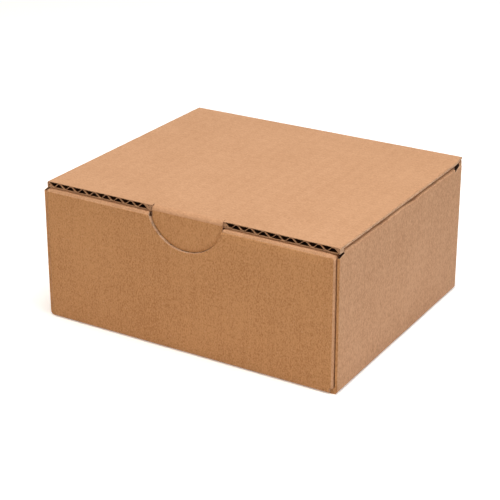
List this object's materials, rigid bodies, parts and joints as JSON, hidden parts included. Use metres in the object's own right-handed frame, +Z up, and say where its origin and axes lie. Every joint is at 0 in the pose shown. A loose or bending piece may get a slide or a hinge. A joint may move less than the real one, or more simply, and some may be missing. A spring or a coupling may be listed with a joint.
{
  "type": "corrugated mailer box",
  "caption": "Closed kraft corrugated mailer box with rolled front and side walls, a lid hinged on the back crease and a half-round closing tab in the front notch.",
  "frame": {"origin": "middle of the box's footprint, on the surface it stands on", "axes": "+X along the front from left to right, +Y from the front to the back, +Z up"},
  "size_m": [0.15, 0.1284, 0.0664],
  "materials": {
    "kraft_board": "matt unbleached paper"
  },
  "bodies": {
    "tray": {"tray": "kraft_board"},
    "lid": {"lid": "kraft_board"}
  },
  "joints": [
    {"name": "lid_hinge", "type": "hinge", "parent": "tray", "child": "lid", "pos_m": [0, 0.06352, 0.06567], "axis": [-1, 0, 0], "range_deg": [0, 180]}
  ]
}
